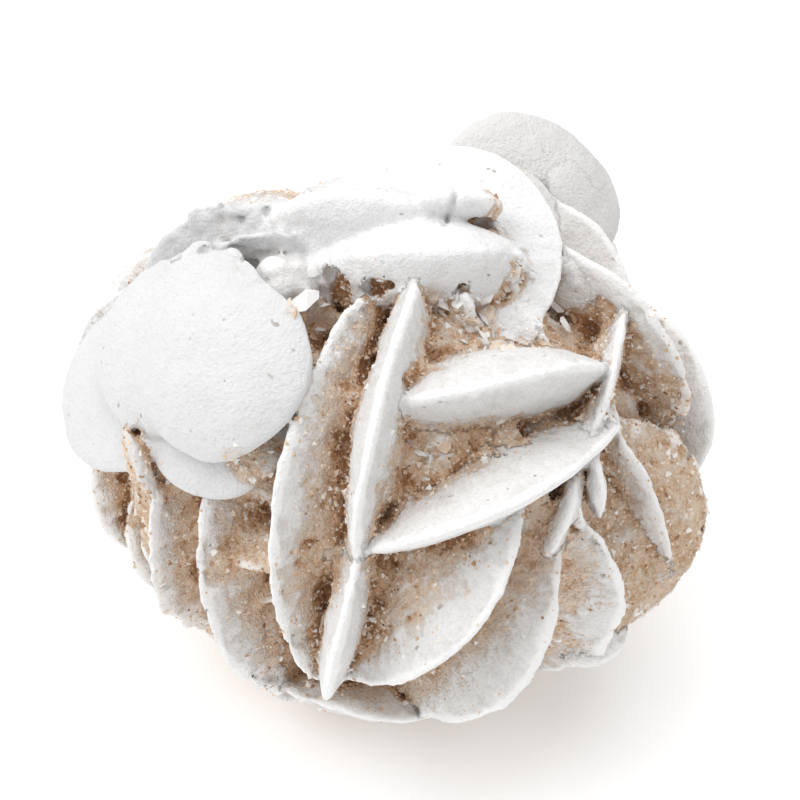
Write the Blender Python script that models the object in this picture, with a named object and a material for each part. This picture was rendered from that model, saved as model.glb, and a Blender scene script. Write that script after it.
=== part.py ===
"""Gypsum sand rose (desert rose): lens-shaped gypsum blades grown through one another in sand.

The blades cross at all angles and stick out of a lump of cemented sand, so the cluster is one solid.
It rests on a small worn flat. Units are metres, +Z is up and -Y is the front.
"""

import math
import random

import bmesh
import bpy
from mathutils import Matrix, Vector

MM = 0.001

# Driving dimensions: the ellipsoid that the blade rims reach, and the height of its middle above the flat.
ROSE_WIDTH = 66.0 * MM
ROSE_DEPTH = 65.0 * MM
ROSE_HEIGHT = 59.0 * MM
MIDDLE_HEIGHT = 26.0 * MM

# The sand between the blades, as a share of that ellipsoid, and the places where its level differs:
# azimuth and elevation, how far the difference spreads, and the level in the middle of it.
SAND_REACH = 0.80
SAND_UNEVENNESS = 0.02
SAND_PLACES = {
    "hollow under the crown": ((12, 72), 30, 0.74),
    "behind the left discs": ((-48, 45), 30, 0.90),
    "left of the long left blade": ((-25, 14), 20, 0.87),
    "behind the left strips": ((-53, 28), 14, 0.93),
    "between the left disc and the slab": ((-66, 68), 12, 0.93),
    "top of the back": ((-165, 56), 40, 0.70),
    "round the worn flat": ((0, -90), 60, 0.99),
}

# A blade is a disc with a sharp rim: the length of a facet along the rim, the least and most facets, and
# its waviness as a share of its radius.
FACET_LENGTH = 3.7 * MM
FEWEST_FACETS = 10
MOST_FACETS = 22
RIM_WAVES = ((2, 0.020), (3, 0.016), (5, 0.010))
SEED = 7

GYPSUM_COLOUR = (0.83, 0.79, 0.73, 1.0)
GYPSUM_ROUGHNESS = 0.85

# Each blade: three places that its rim passes, then its thickness in mm. A place is an azimuth from the
# front towards +X, an elevation, both in degrees, and a reach as a share of the ellipsoid.
BLADES = {
    # The front fan, from the left.
    "left_rib": ((-48, 23, 0.93), (-46, 10, 0.95), (-45, -6, 0.94), 3.5),
    "left_rib_front": ((-37, 25, 0.92), (-34, 10, 0.96), (-29, -14, 0.96), 4.0),
    "long_left": ((-19, 68, 0.90), (-21, 35, 1.00), (-16, -6, 0.93), 5.0),
    "long_middle": ((26, 76, 0.90), (-3, 45, 1.03), (-6, 22, 0.93), 6.0),
    "short_middle": ((-5, 21, 0.91), (-7, 11, 1.01), (-11, -17, 0.95), 4.0),
    "upper_almond": ((3, 51, 0.90), (30, 51, 1.04), (65, 39, 0.91), 7.5),
    "lower_almond": ((-3, 23, 0.90), (20, 31, 1.06), (56, 30, 0.92), 6.0),
    "front_leaf": ((30, 29, 0.93), (17, 12, 1.03), (-4, -9, 0.94), 5.0),
    "front_low": ((34, 13, 0.92), (24, -4, 1.04), (8, -27, 0.96), 5.0),
    "front_thin": ((43, 28, 0.90), (35, 24, 0.97), (32, 14, 0.90), 2.2),
    "right_low": ((39, 21, 0.92), (45, -2, 0.99), (45, -27, 0.99), 4.0),
    "right_sliver": ((49, 29, 0.90), (44, 25, 0.97), (44, 16, 0.91), 1.8),
    "right_curve": ((57, 29, 0.90), (57, 11, 0.96), (62, -17, 1.01), 4.0),
    "right_fin": ((78, 42, 0.95), (65, 41, 0.97), (52, 36, 0.96), 3.8),
    # The right side.
    "right_lobe": ((42, -28, 0.97), (47, -25, 1.02), (53, -23, 0.98), 4.0),
    "right_disc": ((106, 22, 0.81), (88, 15, 0.985), (81, -7, 0.945), 4.5),
    "right_foot": ((75, 6, 0.95), (72, -6, 1.01), (63, -17, 1.02), 4.5),
    "shoulder": ((98, 56, 0.90), (78, 39, 1.02), (78, 15, 0.93), 3.0),
    "shoulder_front": ((91, 55, 0.88), (87, 46, 0.94), (87, 36, 0.90), 4.0),
    # The crown.
    "crown_back": ((161, 45, 0.93), (147, 38, 1.10), (132, 27, 1.00), 4.5),
    "crown_disc": ((174, 63, 0.91), (113, 59, 0.97), (72, 54, 0.84), 5.0),
    "crown_slab": ((-97, 72, 0.97), (-67, 87, 1.04), (87, 80, 0.96), 7.0),
    "crown_chip": ((100, 85, 0.97), (81, 78, 1.07), (100, 69, 0.95), 2.8),
    "crown_lens": ((-42, 77, 0.92), (38, 76, 1.02), (76, 64, 0.93), 9.0),
    "crown_splinter": ((138, 30, 1.07), (132, 21, 1.03), (125, 20, 0.86), 2.6),
    # The hollow under the crown.
    "hollow_crystal": ((52, 76, 0.78), (44, 70, 0.88), (44, 63, 0.78), 2.0),
    # The left side.
    "left_disc": ((-41, 65, 1.00), (-21, 54, 1.00), (-38, 34, 1.02), 6.0),
    "left_under": ((-52, 28, 0.96), (-36, 27, 0.97), (-26, 34, 0.90), 5.0),
    "left_inner": ((-89, 52, 1.00), (-80, 35, 1.00), (-60, 29, 1.00), 5.0),
    "left_outer": ((-81, 14, 1.00), (-65, 15, 1.00), (-53, 23, 0.95), 5.0),
    "left_strip": ((-59, 28, 0.97), (-49, 28, 1.05), (-48, 21, 0.95), 2.0),
    "left_ridge": ((-100, 47, 0.98), (-100, 57, 1.00), (-101, 66, 0.98), 4.0),
    "left_ridge_front": ((-88, 51, 0.96), (-84, 60, 0.98), (-81, 68, 0.96), 3.0),
    # The back.
    "back_long": ((148, 46, 0.88), (163, 14, 1.00), (158, -20, 0.92), 7.0),
    "back_long_left": ((-164, 24, 0.78), (-154, 4, 0.95), (-158, -22, 0.92), 7.0),
    "back_almond": ((166, 24, 0.84), (-174, 12, 0.96), (-150, 2, 0.90), 7.0),
    "back_almond_low": ((166, 18, 0.90), (-176, 6, 1.02), (-152, -4, 0.92), 6.0),
    "back_leaf": ((-140, 36, 0.78), (-130, 8, 0.95), (-138, -24, 0.94), 6.0),
    "back_leaf_outer": ((-118, 26, 0.84), (-108, 0, 0.97), (-112, -24, 0.94), 6.0),
    "back_fin": ((128, 30, 0.86), (130, 2, 0.98), (126, -22, 0.92), 6.0),
    "back_disc": ((112, 14, 0.88), (101, -6, 0.96), (112, -24, 0.94), 6.0),
    "back_low": ((150, -6, 0.92), (172, -24, 1.02), (-160, -22, 0.94), 6.0),
    "back_low_left": ((-150, -12, 0.92), (-132, -28, 1.02), (-112, -24, 0.94), 6.0),
    "back_low_right": ((98, -14, 0.94), (116, -28, 1.02), (140, -24, 0.94), 6.0),
    "left_low": ((-92, 0, 0.86), (-78, -18, 0.93), (-82, -36, 0.90), 5.0),
    "left_low_front": ((-66, -12, 0.84), (-56, -27, 0.88), (-44, -36, 0.87), 5.0),
    "left_flank": ((-96, 12, 0.86), (-90, -8, 0.93), (-100, -30, 0.90), 5.0),
    "left_flank_low": ((-74, -18, 0.86), (-70, -34, 0.93), (-84, -50, 0.88), 5.0),
    "under_left": ((-58, -36, 0.88), (-64, -50, 0.95), (-92, -60, 0.90), 5.0),
    "under_front_left": ((-28, -30, 0.88), (-26, -44, 0.95), (-40, -60, 0.90), 6.0),
    "front_foot": ((-20, -28, 0.92), (-6, -25, 0.96), (12, -32, 0.95), 4.0),
    "under_front": ((2, -36, 0.90), (6, -48, 0.96), (-4, -62, 0.90), 6.0),
    "under_front_right": ((34, -30, 0.90), (36, -44, 0.96), (26, -60, 0.90), 6.0),
    "under_right": ((68, -28, 0.90), (70, -44, 0.96), (62, -60, 0.90), 5.0),
    "under_right_back": ((98, -34, 0.90), (102, -46, 0.96), (96, -62, 0.90), 6.0),
    "under_back": ((150, -38, 0.90), (160, -50, 0.96), (176, -60, 0.90), 6.0),
    "under_back_left": ((-170, -36, 0.90), (-156, -50, 0.96), (-150, -62, 0.90), 6.0),
    "under_left_back": ((-124, -32, 0.90), (-116, -48, 0.96), (-124, -62, 0.90), 5.0),
    "crown_rear": ((-150, 62, 0.76), (-135, 50, 0.80), (-112, 40, 0.78), 6.0),
    "back_left_upper": ((-128, 54, 0.76), (-118, 42, 0.82), (-104, 24, 0.84), 6.0),
    "back_right_upper": ((140, 44, 0.84), (122, 38, 0.89), (106, 28, 0.86), 5.0),
    # The rear flank, between the left side and the back, and the top of the back.
    "flank_upright": ((-98, 36, 0.90), (-96, 20, 0.98), (-96, 2, 0.90), 4.0),
    "flank_slant": ((-122, 42, 0.80), (-110, 32, 0.92), (-98, 18, 0.88), 5.0),
    "flank_fin": ((-106, 44, 0.80), (-114, 26, 0.92), (-108, 8, 0.88), 5.0),
    "flank_cross": ((-132, 18, 0.86), (-118, 12, 0.97), (-98, 8, 0.86), 5.0),
    "flank_low_cross": ((-126, -4, 0.88), (-112, -12, 0.98), (-94, -14, 0.88), 5.0),
    "flank_rear": ((-126, 44, 0.75), (-136, 28, 0.86), (-128, 12, 0.84), 5.0),
    "rear_cross": ((-156, 26, 0.82), (-142, 18, 0.91), (-124, 20, 0.84), 5.0),
    "rear_top": ((-164, 68, 0.76), (-176, 52, 0.83), (174, 34, 0.84), 5.0),
    "rear_top_cross": ((-144, 44, 0.74), (-166, 42, 0.79), (170, 46, 0.74), 5.0),
    "rear_top_left": ((-130, 62, 0.68), (-150, 50, 0.75), (-160, 32, 0.78), 5.0),
    "rear_shoulder": ((156, 60, 0.82), (146, 46, 0.92), (130, 40, 0.86), 5.0),
}


def place(azimuth, elevation, reach):
    """A point in the direction of azimuth and elevation, at reach times the rose's ellipsoid."""
    turn = math.radians(azimuth)
    rise = math.radians(elevation)
    x = math.cos(rise) * math.sin(turn) * ROSE_WIDTH / 2
    y = -math.cos(rise) * math.cos(turn) * ROSE_DEPTH / 2
    z = math.sin(rise) * ROSE_HEIGHT / 2
    return Vector((x, y, z)) * reach + Vector((0, 0, MIDDLE_HEIGHT))


def rim_circle(first, middle, last):
    """The centre, radius and frame of the circle through three points, its X axis towards the middle one."""
    a = middle - first
    b = last - first
    normal = a.cross(b)
    to_centre = (normal.cross(a) * b.length_squared + b.cross(normal) * a.length_squared)
    centre = first + to_centre / (2 * normal.length_squared)
    along = (middle - centre).normalized()
    facing = normal.normalized()
    across = facing.cross(along)
    frame = Matrix((along, across, facing)).transposed().to_4x4()
    return centre, (middle - centre).length, frame


def blade(name, places, thickness, draw, collection):
    """A lens-shaped disc whose rim passes three places, from a flattened sphere."""
    centre, radius, frame = rim_circle(*[place(*p) for p in places])
    facets = round(math.tau * radius / FACET_LENGTH)
    facets = min(MOST_FACETS, max(FEWEST_FACETS, facets))
    shape = bmesh.new()
    bmesh.ops.create_uvsphere(shape, u_segments=facets, v_segments=4, radius=1.0)
    waves = [(turns, share, draw.uniform(0, math.tau)) for turns, share in RIM_WAVES]
    for vertex in shape.verts:
        x, y, z = vertex.co
        out = min(1.0, math.hypot(x, y))
        turn = math.atan2(y, x)
        swell = 1 + sum(share * math.sin(turns * turn + phase) for turns, share, phase in waves)
        height = (1 - out * out) * thickness / 2
        vertex.co = (x * radius * swell, y * radius * swell, math.copysign(height, z) if out < 0.999 else 0)
    mesh = bpy.data.meshes.new(name)
    shape.to_mesh(mesh)
    shape.free()
    made = bpy.data.objects.new(name, mesh)
    made.matrix_world = Matrix.Translation(centre) @ frame
    made.hide_render = True
    made.display_type = "WIRE"
    collection.objects.link(made)
    return made


def closeness(direction, centre_place, spread):
    """1 at a place, falling smoothly to 0 at spread degrees from it."""
    centre = place(*centre_place, 1.0) - Vector((0, 0, MIDDLE_HEIGHT))
    share = max(0.0, 1 - math.degrees(direction.angle(centre)) / spread)
    return share * share * (3 - 2 * share)


def sand_lump(draw, collection):
    """The cemented sand that the blades stick out of, hollowed at the top front and full at the flat."""
    shape = bmesh.new()
    bmesh.ops.create_icosphere(shape, subdivisions=3, radius=1.0)
    half = Vector((ROSE_WIDTH / 2, ROSE_DEPTH / 2, ROSE_HEIGHT / 2))
    for vertex in shape.verts:
        direction = vertex.co * half
        reach = SAND_REACH + draw.uniform(-1, 1) * SAND_UNEVENNESS
        for middle, spread, level in SAND_PLACES.values():
            reach += (level - SAND_REACH) * closeness(direction, middle, spread)
        vertex.co = direction * reach + Vector((0, 0, MIDDLE_HEIGHT))
    mesh = bpy.data.meshes.new("sand")
    shape.to_mesh(mesh)
    shape.free()
    sand = bpy.data.objects.new("sand", mesh)
    collection.objects.link(sand)
    return sand


def ground_block(collection):
    """The block that cuts the cluster off flat at z = 0."""
    side = 2 * ROSE_WIDTH
    shape = bmesh.new()
    bmesh.ops.create_cube(shape, size=side)
    mesh = bpy.data.meshes.new("ground")
    shape.to_mesh(mesh)
    shape.free()
    ground = bpy.data.objects.new("ground", mesh)
    ground.location = (0, 0, -side / 2)
    ground.hide_render = True
    ground.display_type = "WIRE"
    collection.objects.link(ground)
    return ground


def largest_body(mesh):
    """Keeps only the body with the greatest volume, without the sealed pockets that blades close off."""
    shape = bmesh.new()
    shape.from_mesh(mesh)
    unseen = set(shape.verts)
    bodies = []
    while unseen:
        body = set()
        front = [unseen.pop()]
        while front:
            vertex = front.pop()
            body.add(vertex)
            near = {edge.other_vert(vertex) for edge in vertex.link_edges} & unseen
            unseen -= near
            front.extend(near)
        bodies.append(body)

    def volume(body):
        total = 0.0
        for face in {face for vertex in body for face in vertex.link_faces}:
            corners = [vertex.co for vertex in face.verts]
            for second, third in zip(corners[1:], corners[2:]):
                total += corners[0].dot(second.cross(third)) / 6
        return total

    bodies.sort(key=volume)
    bmesh.ops.delete(shape, geom=[v for body in bodies[:-1] for v in body], context="VERTS")
    shape.to_mesh(mesh)
    shape.free()


def gypsum():
    """Chalky pale gypsum with sand in it."""
    material = bpy.data.materials.new("sandy_gypsum")
    material.use_nodes = True
    surface = material.node_tree.nodes["Principled BSDF"]
    surface.inputs["Base Color"].default_value = GYPSUM_COLOUR
    surface.inputs["Roughness"].default_value = GYPSUM_ROUGHNESS
    surface.inputs["Metallic"].default_value = 0.0
    return material


def sand_rose(blades, ground, sand, collection):
    """The blades and the sand joined in one solid and cut off flat below."""
    join = sand.modifiers.new("join_blades", "BOOLEAN")
    join.operation = "UNION"
    join.solver = "EXACT"
    join.operand_type = "COLLECTION"
    join.collection = blades
    cut = sand.modifiers.new("cut_flat", "BOOLEAN")
    cut.operation = "DIFFERENCE"
    cut.solver = "EXACT"
    cut.object = ground
    graph = bpy.context.evaluated_depsgraph_get()
    mesh = bpy.data.meshes.new_from_object(sand.evaluated_get(graph))
    bpy.data.objects.remove(sand)
    largest_body(mesh)
    mesh.name = "sand_rose"
    mesh.materials.clear()
    mesh.materials.append(gypsum())
    rose = bpy.data.objects.new("sand_rose", mesh)
    collection.objects.link(rose)
    return rose


for leftover in list(bpy.data.objects):
    bpy.data.objects.remove(leftover)

rose_collection = bpy.data.collections.new("gypsum_sand_rose")
blade_collection = bpy.data.collections.new("blades")
cutter_collection = bpy.data.collections.new("cutters")
for made_collection in (rose_collection, blade_collection, cutter_collection):
    bpy.context.scene.collection.children.link(made_collection)

draw = random.Random(SEED)
for blade_name, (first, middle, last, thickness) in BLADES.items():
    blade(blade_name, (first, middle, last), thickness * MM, draw, blade_collection)
sand_rose(
    blade_collection,
    ground_block(cutter_collection),
    sand_lump(draw, rose_collection),
    rose_collection,
)
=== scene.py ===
"""Gypsum sand rose, dressed: one crust of lens-shaped gypsum blades grown through one another in sand.

The blades and the sand are worked out as one field of distances in millimetres, so they meet in true
fillets and crevices. The crust is then cut into the pieces named below, and loose grains are stuck to it.
"""

import itertools
import math
import random

import bpy
import numpy as np
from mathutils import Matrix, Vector


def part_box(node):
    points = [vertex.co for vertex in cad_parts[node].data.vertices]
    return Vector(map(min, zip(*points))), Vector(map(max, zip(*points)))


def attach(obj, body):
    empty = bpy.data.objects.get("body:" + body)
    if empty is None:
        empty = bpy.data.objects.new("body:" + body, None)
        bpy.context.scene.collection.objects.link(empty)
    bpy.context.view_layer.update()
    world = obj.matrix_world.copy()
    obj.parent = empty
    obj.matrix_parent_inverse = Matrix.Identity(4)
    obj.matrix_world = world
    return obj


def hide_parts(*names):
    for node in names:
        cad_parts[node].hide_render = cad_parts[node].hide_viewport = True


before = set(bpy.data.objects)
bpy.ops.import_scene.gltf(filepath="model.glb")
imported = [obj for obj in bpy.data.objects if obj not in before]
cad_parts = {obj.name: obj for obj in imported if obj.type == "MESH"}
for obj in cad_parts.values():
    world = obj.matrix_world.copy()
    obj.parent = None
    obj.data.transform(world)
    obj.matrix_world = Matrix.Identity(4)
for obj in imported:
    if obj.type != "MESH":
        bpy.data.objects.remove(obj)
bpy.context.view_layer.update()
cad_low, cad_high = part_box("sand_rose")


# ----------
# The bed: the lump of fine cemented sand in which the rose grew. It fills the middle of the cluster,
# sinks into a hollow under the crown and comes down to the small worn flat that the rose stands on.

MM = 0.001
ROSE_HALF = np.array((66.0, 65.0, 59.0)) / 2
ROSE_MIDDLE = np.array((0.0, 0.0, 26.0))
SAND_REACH = 0.775
SAND_PLACES = {
    "hollow under the crown": ((12, 72), 30, 0.74),
    "behind the left discs": ((-48, 45), 30, 0.90),
    "left of the long left blade": ((-25, 14), 20, 0.87),
    "behind the left strips": ((-53, 28), 14, 0.93),
    "between the left disc and the slab": ((-66, 68), 12, 0.93),
    "top of the back": ((-165, 56), 40, 0.70),
    "round the worn flat": ((0, -90), 60, 0.99),
}
SAND_PITS = {
    "at the left end of the hollow": ((-46, 77), 7, 0.17),
    "behind the long middle blade": ((-7, 77), 7, 0.15),
    "right of the long middle blade": ((61, 66), 7, 0.14),
    "beside the left disc": ((-36, 65), 8, 0.16),
    "right of the fang": ((88, 48), 8, 0.15),
    "under the end of the slab": ((95, 73), 5, 0.15),
    "under the left disc": ((-29, 20), 9, 0.12),
    "left of the long left blade": ((-25, 4), 9, 0.12),
    "below it": ((-21, -10), 9, 0.12),
    "low on the right": ((42, -12), 7, 0.14),
    "between the tops of the long blades": ((-2, 64), 6, 0.10),
    "under the chip at the end of the slab": ((84, 74), 4, 0.10),
}
SAND_LUMPS = ((7.0, 0.70), (2.6, 0.45))  # the size across and the height of the lumps in its surface
GRID_STEP = 0.30
GRID_MARGIN = 1.6
FAR = 9.0
CELL_CORNERS = tuple(itertools.product((0, 1), repeat=3))
SAND_BAND = 3.0  # how near its surface the lumps are added


def smooth(share):
    """0 to 1 with a gentle start and end."""
    share = np.clip(share, 0.0, 1.0)
    return share * share * (3 - 2 * share)


def direction_of(azimuth, elevation):
    """The unit direction on the rose's ellipsoid, azimuth from the front towards +X, in degrees."""
    turn = math.radians(azimuth)
    rise = math.radians(elevation)
    return np.array((math.cos(rise) * math.sin(turn), -math.cos(rise) * math.cos(turn), math.sin(rise)))


def between_corners(values, cell, part):
    """Values part of the way across each cell, weighed from its corners and repeating past the last."""
    total = np.zeros(len(cell), np.float32)
    for corner in CELL_CORNERS:
        weight = np.prod(np.where(corner, part, 1 - part), axis=1)
        x, y, z = ((cell + corner) % values.shape).T
        total += weight * values[x, y, z]
    return total


def cloud(points, size, seed):
    """Smooth random values from -1 to 1 that change over about size mm."""
    lattice = np.random.default_rng(seed).uniform(-1, 1, (32, 32, 32)).astype(np.float32)
    spot = points / size
    cell = np.floor(spot).astype(np.int32)
    return between_corners(lattice, cell, smooth(spot - cell).astype(np.float32))


grid_low = np.array(cad_low) / MM - GRID_MARGIN
grid_counts = np.ceil((np.array(cad_high) / MM + GRID_MARGIN - grid_low) / GRID_STEP).astype(int) + 1
grid_lines = [grid_low[i] + GRID_STEP * np.arange(grid_counts[i], dtype=np.float32) for i in range(3)]


def grid_points(where):
    """The points of the grid at these flat indices, in millimetres."""
    places = np.unravel_index(where, grid_counts)
    return np.stack([line[place] for line, place in zip(grid_lines, places)], axis=1)


def laid_along(axis, values):
    """Values laid along one axis of the grid."""
    return values.reshape([-1 if i == axis else 1 for i in range(3)]).astype(np.float32)


# How far out each grid point is, as a share of the ellipsoid, and its distance from the sand's surface.
away = [
    laid_along(axis, (line - middle) / half)
    for axis, (line, middle, half) in enumerate(zip(grid_lines, ROSE_MIDDLE, ROSE_HALF))
]
grid_reach = np.sqrt(away[0] ** 2 + away[1] ** 2 + away[2] ** 2)
sand_level = np.full(grid_counts, SAND_REACH, np.float32)
sand_changes = [(middle, spread, level - SAND_REACH) for middle, spread, level in SAND_PLACES.values()]
sand_changes += [(middle, spread, -depth) for middle, spread, depth in SAND_PITS.values()]
for middle, spread, change in sand_changes:
    toward = direction_of(*middle)
    cosine = sum(away[i] * toward[i] for i in range(3)) / np.maximum(grid_reach, 0.01)
    angle = np.degrees(np.arccos(np.clip(cosine, -1, 1)))
    sand_level += change * smooth(1 - angle / spread)
sand_field = (grid_reach - sand_level) * ROSE_HALF.mean()
sand_band = np.flatnonzero(np.abs(sand_field) < SAND_BAND)
for sand_size, sand_height in SAND_LUMPS:
    sand_field.flat[sand_band] += sand_height * cloud(grid_points(sand_band), sand_size, seed=1)

# The blades are added to this field of their own by the sections below, with the index of the nearest.
blade_field = np.full(grid_counts, FAR, np.float32)
blade_owner = np.full(grid_counts, -1, np.int16)
blades_made = []


# ----------
# The front fan: the long upright blades, the pair of almonds that lean between them and the low leaves.
# Each is one crystal of gypsum, a lens with a blunt wavy rim, which pushed the sand aside as it grew.

FRONT_FAN = {
    "left_rib": ((-48, 23, 0.93), (-46, 10, 0.95), (-45, -6, 0.94), 3.5),
    "left_rib_front": ((-37, 25, 0.92), (-34, 10, 0.96), (-29, -14, 0.96), 4.0),
    "long_left": ((-19, 68, 0.90), (-21, 35, 1.00), (-16, -6, 0.93), 5.0),
    "long_middle": ((26, 76, 0.90), (-3, 45, 1.03), (-6, 22, 0.93), 6.0),
    "short_middle": ((-5, 21, 0.91), (-7, 11, 1.01), (-11, -17, 0.95), 4.0),
    "upper_almond": ((3, 51, 0.90), (30, 51, 1.04), (65, 39, 0.91), 7.5),
    "lower_almond": ((-3, 23, 0.90), (20, 31, 1.06), (56, 30, 0.92), 6.0),
    "front_leaf": ((30, 29, 0.93), (17, 12, 1.03), (-4, -9, 0.94), 5.0),
    "front_low": ((34, 13, 0.92), (24, -4, 1.04), (8, -27, 0.96), 5.0),
    "front_thin": ((43, 28, 0.90), (35, 24, 0.97), (32, 14, 0.90), 2.2),
    "right_low": ((39, 21, 0.92), (45, -2, 0.99), (45, -27, 0.99), 4.0),
    "right_sliver": ((49, 29, 0.90), (44, 25, 0.97), (44, 16, 0.91), 1.8),
    "right_curve": ((57, 29, 0.90), (57, 11, 0.96), (62, -17, 1.01), 4.0),
    "right_fin": ((78, 42, 0.95), (65, 41, 0.97), (52, 36, 0.96), 3.8),
}
FRONT_FULLNESS = 2.2  # 2 is an even lens, and more is a flatter face with a steeper bevel at its rim
RIM_WAVES = ((2, 0.020), (3, 0.016), (5, 0.010))
RIM_CHIPS = ((9, 0.004), (14, 0.002))
RIM_BLUNTNESS = 0.60
THIN_BLUNTNESS = 0.15  # the most that a rim is blunted, as a share of its blade's thickness
BLUNT_LOSS = 0.6
RIM_SLACK = 1.06  # how far out the waves can take the rim
SLOPE_REACH = 1.1
FACE_WARP = 0.22
WARP_RATES = (0.15, 0.4)
BLADE_PAD = 3.2
JOINT_WIDTH = 0.35
JOINT_WIDTH_DEEP = 0.8
JOINT_REACH = 0.98
JOINT_FADE = 0.18
SEED = 7

draw = random.Random(SEED)
chip_draw = random.Random(SEED + 1)
deep_joint = smooth((JOINT_REACH - grid_reach) / JOINT_FADE)
joint_width = JOINT_WIDTH + (JOINT_WIDTH_DEEP - JOINT_WIDTH) * deep_joint


def blend(first, second, width):
    """The lesser of two distances, rounded off where they are within width of each other."""
    near = np.maximum(width - np.abs(first - second), 0) / width
    return np.minimum(first, second) - near * near * width / 4


def rim_circle(places):
    """The centre, radius and frame in rows of the circle through three places, in millimetres."""
    first, middle, last = [
        Vector(direction_of(azimuth, elevation) * ROSE_HALF * reach + ROSE_MIDDLE)
        for azimuth, elevation, reach in places
    ]
    near = middle - first
    far = last - first
    normal = near.cross(far)
    to_centre = normal.cross(near) * far.length_squared + far.cross(normal) * near.length_squared
    centre = first + to_centre / (2 * normal.length_squared)
    along = (middle - centre).normalized()
    facing = normal.normalized()
    return np.array(centre), (middle - centre).length, np.array((along, facing.cross(along), facing))


def grow(group, blades, fullness, softness=1.0):
    """Adds a group of blades to the field, each a lens whose rim passes three places."""
    for name, (*places, thickness) in blades.items():
        centre, radius, axes = rim_circle(places)
        blunt = min(RIM_BLUNTNESS, thickness * THIN_BLUNTNESS)
        waves = [(turns, share, draw.uniform(0, math.tau)) for turns, share in RIM_WAVES]
        waves += [(turns, share, chip_draw.uniform(0, math.tau)) for turns, share in RIM_CHIPS]
        warps = [(chip_draw.uniform(*WARP_RATES), chip_draw.uniform(0, math.tau)) for _ in range(4)]
        spread = radius * RIM_SLACK * np.sqrt(1 - axes[2] ** 2)
        spread += thickness / 2 * np.abs(axes[2]) + BLADE_PAD
        start = np.maximum(((centre - spread - grid_low) / GRID_STEP).astype(int), 0)
        stop = np.minimum(((centre + spread - grid_low) / GRID_STEP).astype(int) + 2, grid_counts)
        room = tuple(slice(first, last) for first, last in zip(start, stop))
        offsets = [
            laid_along(axis, line[part] - middle)
            for axis, (line, part, middle) in enumerate(zip(grid_lines, room, centre))
        ]
        x, y, z = [sum(offset * np.float32(share) for offset, share in zip(offsets, row)) for row in axes]
        turn = np.arctan2(y, x)
        swell = 1 + sum(share * np.sin(turns * turn + phase) for turns, share, phase in waves)
        out = np.hypot(x, y) / (radius * swell)
        for (rate_x, phase_x), (rate_y, phase_y) in (warps[:2], warps[2:]):
            z = z + FACE_WARP * np.sin(rate_x * x + phase_x) * np.cos(rate_y * y + phase_y)
        half = (thickness / 2 - blunt * BLUNT_LOSS) * (1 - out**fullness)
        slope = thickness / 2 * fullness * np.minimum(out, SLOPE_REACH) ** (fullness - 1) / radius
        field = np.sqrt(z * z + blunt * blunt) - blunt - half
        field = (field / np.sqrt(1 + slope * slope)).astype(np.float32)
        nearer = field < blade_field[room]
        blade_owner[room][nearer] = len(blades_made)
        blade_field[room] = blend(blade_field[room], field, joint_width[room] * softness)
        blades_made.append({"name": name, "group": group, "centre": centre, "radius": radius, "axes": axes})


grow("front_fan", FRONT_FAN, FRONT_FULLNESS)


# ----------
# The right side: broad discs that overlap like tiles, a foot below them and a shoulder above.
# Gypsum blades again, sandier than the front ones because they lay deeper in the bed; their sand is painted
# darker as shade.

RIGHT_SIDE = {
    "right_lobe": ((42, -28, 0.97), (47, -25, 1.02), (53, -23, 0.98), 4.0),
    "right_disc": ((106, 22, 0.81), (88, 15, 0.985), (81, -7, 0.945), 4.5),
    "right_foot": ((75, 6, 0.95), (72, -6, 1.01), (63, -17, 1.02), 4.5),
    "shoulder": ((98, 56, 0.90), (78, 39, 1.02), (78, 15, 0.93), 3.0),
    "shoulder_front": ((91, 55, 0.88), (87, 46, 0.94), (87, 36, 0.90), 4.0),
}
RIGHT_FULLNESS = 3.0

grow("right_side", RIGHT_SIDE, RIGHT_FULLNESS)


# ----------
# The tall disc: one broad blade that stands up behind the crown, duller than the rest of it, painted grey
# as shade.
# It grew like the crown, clean of sand and with a bevel round its rim.

TALL_DISC = {"crown_back": ((161, 45, 0.93), (147, 38, 1.10), (132, 27, 1.00), 4.5)}
CROWN_FULLNESS = 3.4

grow("tall_disc", TALL_DISC, CROWN_FULLNESS)


# ----------
# The crown: a broad disc, a thick slab and a lens across the top.
# The last blades to grow, clean of sand and with a bevel round their rims.

CROWN = {
    "crown_disc": ((174, 63, 0.91), (113, 59, 0.97), (72, 54, 0.84), 5.0),
    "crown_slab": ((-97, 72, 0.97), (-67, 87, 1.04), (87, 80, 0.96), 7.0),
    "crown_chip": ((100, 85, 0.97), (81, 78, 1.07), (100, 69, 0.95), 2.8),
    "crown_lens": ((-42, 77, 0.92), (38, 76, 1.02), (76, 64, 0.93), 9.0),
}

grow("crown", CROWN, CROWN_FULLNESS)


# ----------
# The splinter: a sliver of the same dull gypsum, painted grey as shade, at the foot of the tall disc.
# It grew into the disc's edge and wears the same finish.

SPLINTER = {"crown_splinter": ((138, 30, 1.07), (132, 21, 1.03), (125, 20, 0.86), 2.6)}

grow("tall_disc", SPLINTER, CROWN_FULLNESS)


# ----------
# The hollow's crystal: a small thin blade of gypsum that stands in the sand under the crown.
# It meets the sand more sharply than the large blades do.

HOLLOW = {"hollow_crystal": ((52, 76, 0.78), (44, 70, 0.88), (44, 63, 0.78), 2.0)}
HOLLOW_FULLNESS = 2.0
HOLLOW_SOFTNESS = 0.4

grow("hollow_crystals", HOLLOW, HOLLOW_FULLNESS, HOLLOW_SOFTNESS)


# ----------
# The left side: large flat discs that lie over one another, thin strips under them and a rough ridge
# above. These faces look the whitest, worn smooth and free of sand; they face the key lamp, so their white
# is painted greyer as shade to hold its light down.

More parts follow.
